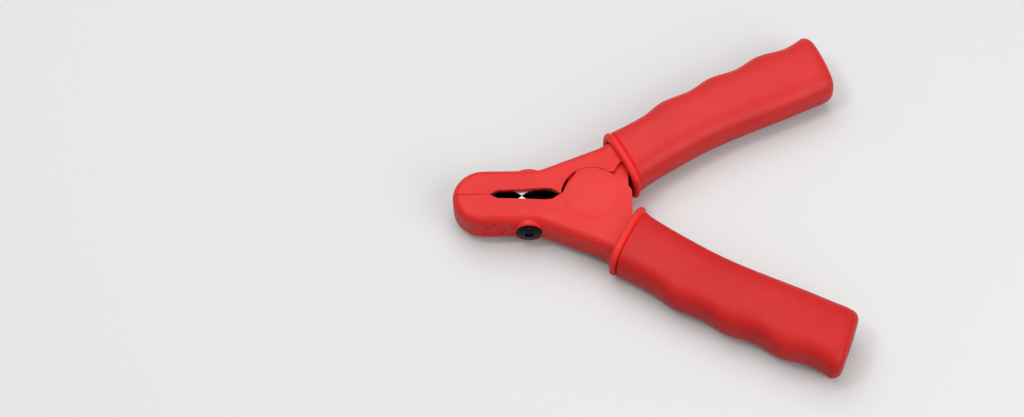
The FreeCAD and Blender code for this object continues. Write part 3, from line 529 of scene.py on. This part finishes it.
make_sleeve("upper_sleeve", (upper_vinyl, rim_vinyl_painted_highlight), "upper_jaw", "upper_grip",
            push=0.3, lean=-0.75, taper=0.0, turned_over=False)
make_sleeve("lower_sleeve", (lower_vinyl_painted_shade, rim_vinyl_painted_highlight), "lower_jaw", "lower_grip",
            push=1.9, lean=0.0, taper=0.7, turned_over=True)

# %% [markdown]
# Drawn and folded metal keeps the fine streaks of its rolling. A noise that is stretched along
# the strip gives them, in both the polish and a very shallow relief.

# %% Streaked metal
STREAK_MM = 0.9
TINT_MM = 6.0
STREAK_POLISHED = 0.05
STREAK_DULLED = 0.12


def drawn_metal(name, colours, roughness, stretch):
    material, tree, shader, place = surface(name)
    bright, stained = colours
    laid = add(tree, "ShaderNodeMapping", {"Vector": place, "Scale": stretch})
    streaks = noise(tree, laid.outputs["Vector"], STREAK_MM, 3.0)
    tint = noise(tree, place, TINT_MM)
    fill(tree, shader, {
        "Base Color": ramp(tree, tint, [(0.35, stained), (0.6, bright)]),
        "Roughness": span(tree, streaks, 0.3, 0.7, roughness - STREAK_POLISHED,
                          roughness + STREAK_DULLED),
        "Normal": relief(tree, streaks, 0.3, 0.02),
        "Metallic": 1.0})
    return material, tree, shader, place


# %% [markdown]
# Each contact is one strip of steel folded to a U. The trough between its flanges is painted
# black and not metallic: painted shade, as little light reaches it. The flanges and their cut
# edges are bright from the plating and from wear. The two are told apart by height along the
# hinge line, where the trough lies within 6.3 mm of the middle.

# %% Plated contact with painted shade in its trough
TROUGH_HALF = 6.3 * MM
TROUGH_EDGE = 0.2 * MM


# Painted shade: near-black, non-metallic colour in the trough between the flanges.
def paint_trough_shade(tree, shader, place):
    height = add(tree, "ShaderNodeSeparateXYZ", {"Vector": place}).outputs["Z"]
    from_middle = add(tree, "ShaderNodeMath", {0: height}, operation="ABSOLUTE").outputs["Value"]
    outside = span(tree, from_middle, TROUGH_HALF, TROUGH_HALF + TROUGH_EDGE, 0.0, 1.0)
    old_colour = shader.inputs["Base Color"].links[0].from_socket
    fill(tree, shader, {"Base Color": mixed(tree, outside, linear("#0C0A0A"), old_colour),
                        "Metallic": outside})


contact_metal, contact_tree, contact_shader, contact_place = drawn_metal(
    "plated_contact_steel", ("#CDCAC6", "#B4B0AA"), roughness=0.34, stretch=(0.1, 1.0, 1.0))
paint_trough_shade(contact_tree, contact_shader, contact_place)
dress(contact_metal, "lower_contact", "upper_contact")

# %% [markdown]
# The hinge pin is ground steel with a thin zinc plate. The screws, their washers and their
# nuts are blackened: black oxide is a thin conversion of the steel itself, satin. Its small pale
# spots are wear where it has worn through, and also painted glints. The bush is plain pale
# nylon.

# %% Pin, black oxide and nylon
WEAR_AND_GLINT_MM = 1.4


def oxide():
    material, tree, shader, place = surface("black_oxide_steel")
    # Pale spots from this noise: wear, and painted glints.
    wear_and_glints = noise(tree, place, WEAR_AND_GLINT_MM, 5.0)
    fill(tree, shader, {
        "Base Color": ramp(tree, wear_and_glints, [(0.54, "#020203"), (0.62, "#0B0B0D"),
                                          (0.72, "#6A6B70")]),
        "Roughness": span(tree, wear_and_glints, 0.35, 0.7, 0.42, 0.26),
        "Metallic": 0.6,
        "Specular IOR Level": 0.16,
        "Normal": relief(tree, wear_and_glints, 0.4, 0.05)})
    return material


zinc_steel = drawn_metal("zinc_plated_steel", ("#B9BABC", "#A4A5A6"), roughness=0.32,
                         stretch=(1.0, 1.0, 0.2))[0]
dress(zinc_steel, "pivot_pin")
black_oxide = oxide()
for side in ("lower", "upper"):
    dress(black_oxide, side + "_terminal_screw", side + "_lock_washer", side + "_terminal_nut")
pale_nylon = moulded("pale_nylon", ("#CFCBBF", "#D8D5CA", "#E0DDD3"), roughness=0.5,
                     grain_mm=0.6, grain_depth_mm=0.02)[0]
dress(pale_nylon, "pivot_bush")

# %% [markdown]
# Two pieces bend when the jaws open: the torsion spring, whose legs press on the two tails, and
# the sleeved strap that joins the contacts. In the frame each is a stiff solid on the lower
# jaw. A copy of its mesh has its doubled points merged, is shaded smooth and takes the place of
# the solid, which is hidden.

# %% A plain copy of a piece that bends
MERGE_DISTANCE = 0.001 * MM


def bending_copy(node, name, material):
    shape = bmesh.new()
    shape.from_mesh(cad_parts[node].data)
    bmesh.ops.remove_doubles(shape, verts=shape.verts, dist=MERGE_DISTANCE)
    smooth(shape)
    for face in shape.faces:
        face.material_index = 0
    piece = finished(name, shape, material)
    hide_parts(node)
    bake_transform(piece)


# %% [markdown]
# Spring wire is drawn hard through a die and oiled, so it is dark grey with long bright
# streaks. The strap is given a black sleeve of woven glass yarn, and that black is painted
# shade, which keeps the inside of the jaw dark. Its diagonal weave is drawn with two wave
# patterns that cross. A wave repeats every 0.314 units divided by its scale, here about 5 mm,
# which is broader than real yarn, on a piece that hardly shows.

# %% Spring and strap
WEAVE_SCALE = 62.5


def woven_sleeve_painted_shade():
    material, tree, shader, place = surface("strap_sleeve_painted_shade")
    strands = []
    for turn in (math.radians(45), math.radians(-45)):
        laid = add(tree, "ShaderNodeMapping", {"Vector": place, "Rotation": (0, turn, turn)})
        wave = add(tree, "ShaderNodeTexWave", {"Vector": laid.outputs["Vector"],
                                               "Scale": WEAVE_SCALE})
        strands.append(wave.outputs["Fac"])
    weave = add(tree, "ShaderNodeMath", {0: strands[0], 1: strands[1]},
                operation="MAXIMUM").outputs["Value"]
    # Painted shade: the sleeve's near-black colour.
    fill(tree, shader, {
        "Base Color": ramp(tree, weave, [(0.2, "#0A0A0A"), (0.9, "#1E1D1D")]),
        "Roughness": 0.75,
        "Normal": relief(tree, weave, 0.6, 0.1)})
    return material


spring_wire = drawn_metal("oiled_spring_wire", ("#7E7F83", "#5B5C60"), roughness=0.3,
                          stretch=(1.0, 1.0, 0.4))[0]
bending_copy("torsion_spring", "bending_spring", spring_wire)
bending_copy("link_strap", "bending_strap", woven_sleeve_painted_shade())

# %% [markdown]
# The clamp lies on a wide pale floor, as on a shop's white table. What the camera sees of it is
# pale, and shiny things show it so, but the light that it sends back to the clamp is held down,
# as in a picture whose ground is paper that the lamps barely reach. So the walls that face the
# viewer keep their depth.

# %% Floor
FLOOR_HALF_WIDTH = 6.0
floor_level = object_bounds()[0][2]


def table_material():
    material, tree, shader, _ = surface("pale_table")
    path = add(tree, "ShaderNodeLightPath", {})
    seen = path.outputs["Is Camera Ray"]
    for other in ("Is Glossy Ray", "Is Transmission Ray"):
        seen = add(tree, "ShaderNodeMath", {0: seen, 1: path.outputs[other]},
                   operation="MAXIMUM").outputs["Value"]
    fill(tree, shader, {"Base Color": ramp(tree, seen, [(0.0, "#6E6E6E"), (1.0, "#EBEBEB")]),
                        "Roughness": 0.9,
                        "Specular IOR Level": 0.0})
    return material


def make_floor():
    shape = bmesh.new()
    bmesh.ops.create_grid(shape, x_segments=1, y_segments=1, size=FLOOR_HALF_WIDTH)
    bmesh.ops.translate(shape, verts=shape.verts, vec=(0, 0, floor_level))
    floor = finished("floor", shape, table_material())


make_floor()
print("floor at", round(floor_level / MM, 2), "mm")

# %% [markdown]
# The camera stands where the photograph's did: about a metre away and 58 degrees above the
# table, with a long lens. Its turn about the view line is set with the picture's tilt.

# %% Camera
AZIMUTH = math.radians(2.429)
ELEVATION = math.radians(57.994)
ROLL = math.radians(-2.692)
DISTANCE = 962.65 * MM
TARGET = HINGE + Vector((-37.149, -2.58, 0)) * MM
LENS = 72.83


def make_camera():
    back = Vector((math.sin(AZIMUTH) * math.cos(ELEVATION),
                   -math.cos(AZIMUTH) * math.cos(ELEVATION), math.sin(ELEVATION)))
    side = Vector((0, 0, 1)).cross(back).normalized()
    up = back.cross(side)
    right = math.cos(ROLL) * side + math.sin(ROLL) * up
    top = -math.sin(ROLL) * side + math.cos(ROLL) * up
    data = bpy.data.cameras.new("camera")
    data.lens = LENS
    data.sensor_width = 36.0
    data.clip_start = 0.05
    data.clip_end = 50.0
    camera = put_in_scene("camera", data)
    turned = Matrix((right, top, back)).transposed().to_4x4()
    camera.matrix_world = Matrix.Translation(TARGET + back * DISTANCE) @ turned
    bpy.context.scene.camera = camera
    print("camera stands", round((TARGET + back * DISTANCE).z - floor_level, 2), "m up")


make_camera()

# %% [markdown]
# White paper on the table should come out as white paper. A share of one is the light that
# would do it, and a lamp's share is turned into watts from its distance and the slant at which
# it meets the table. That takes the lamp for a point. A wide near one gives the table less, so
# the shares of the sky and the lamps add up to 1.16, which brings the table out at its own
# colour. A large lamp overhead, left and a little behind, gives the most. A small one on the
# left lights the nose. A wide one, low in front on the right, draws the soft band of light
# along the grips.

# %% Light
CLAMP_MIDDLE = HINGE + Vector((25, 0, 0)) * MM
SKY_SHARE = 0.37


def soft_lamp(name, direction, distance, width, share):
    way = Vector(direction).normalized()
    data = bpy.data.lights.new(name, "AREA")
    data.shape = "DISK"
    data.size = width
    data.energy = share * math.pi ** 2 * distance ** 2 / way.z
    lamp = put_in_scene(name, data)
    lamp.rotation_euler = (-way).to_track_quat("-Z", "Y").to_euler()
    lamp.location = CLAMP_MIDDLE + way * distance
    print(name, round(data.energy, 2), "W")


soft_lamp("overhead_lamp", (-0.15, 0.36, 0.92), distance=1.3, width=1.5, share=0.45)
soft_lamp("nose_lamp", (-0.45, -0.1, 0.88), distance=1.2, width=0.25, share=0.11)
soft_lamp("grip_lamp", (0.6, -0.5, 0.6), distance=1.0, width=0.9, share=0.23)

world = bpy.data.worlds.new("studio")
bpy.context.scene.world = world
world.use_nodes = True
sky = world.node_tree.nodes["Background"]
sky.inputs["Color"].default_value = (1, 1, 1, 1)
sky.inputs["Strength"].default_value = SKY_SHARE
bpy.context.scene.view_settings.view_transform = "Standard"
